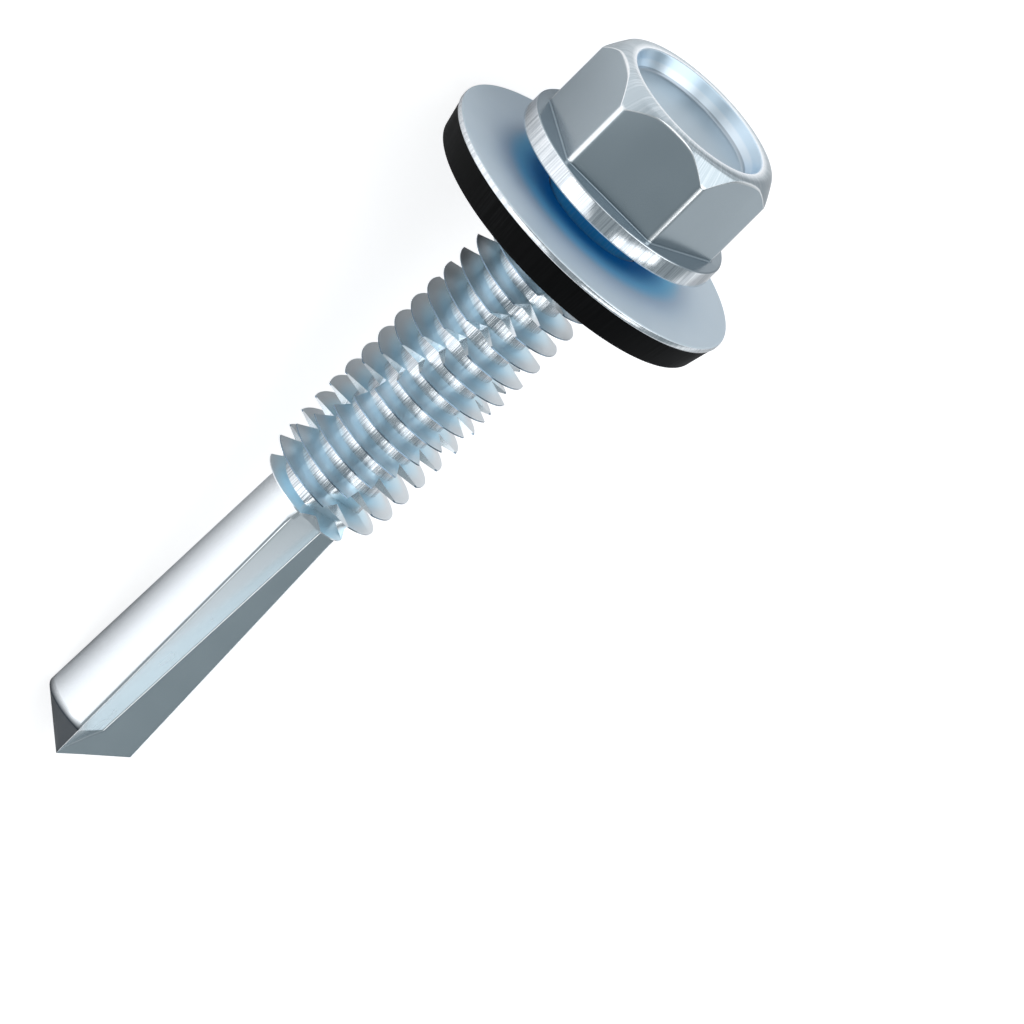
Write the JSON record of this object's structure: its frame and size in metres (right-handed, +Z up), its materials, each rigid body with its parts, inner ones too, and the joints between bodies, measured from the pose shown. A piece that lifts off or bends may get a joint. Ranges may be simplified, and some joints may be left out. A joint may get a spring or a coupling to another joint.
{
  "type": "self drilling screw",
  "caption": "Zinc plated self drilling screw with a hexagon flange head, a loose washer with a black rubber seal, a notched thread and a long fluted drill point.",
  "frame": {"origin": "on the floor, under the middle of the part's length as it lies", "axes": "+X along the screw towards its point, whose axis falls 10.6 degrees towards the point; +Z up from the floor"},
  "size_m": [0.0374, 0.014, 0.0138],
  "materials": {
    "zinc": "bright zinc plated, blue passivated",
    "washer_zinc": "bright zinc plated, blue passivated",
    "seal_rubber": "matt black rubber"
  },
  "bodies": {
    "screw": {"screw": "zinc"},
    "washer": {"washer_plate": "washer_zinc", "rubber_seal": "seal_rubber"}
  },
  "joints": [
    {"name": "washer_slide", "type": "slide", "parent": "screw", "child": "washer", "axis": [-0.9829, 0, 0.184], "range_m": [-0.0007, 0.00115]}
  ]
}
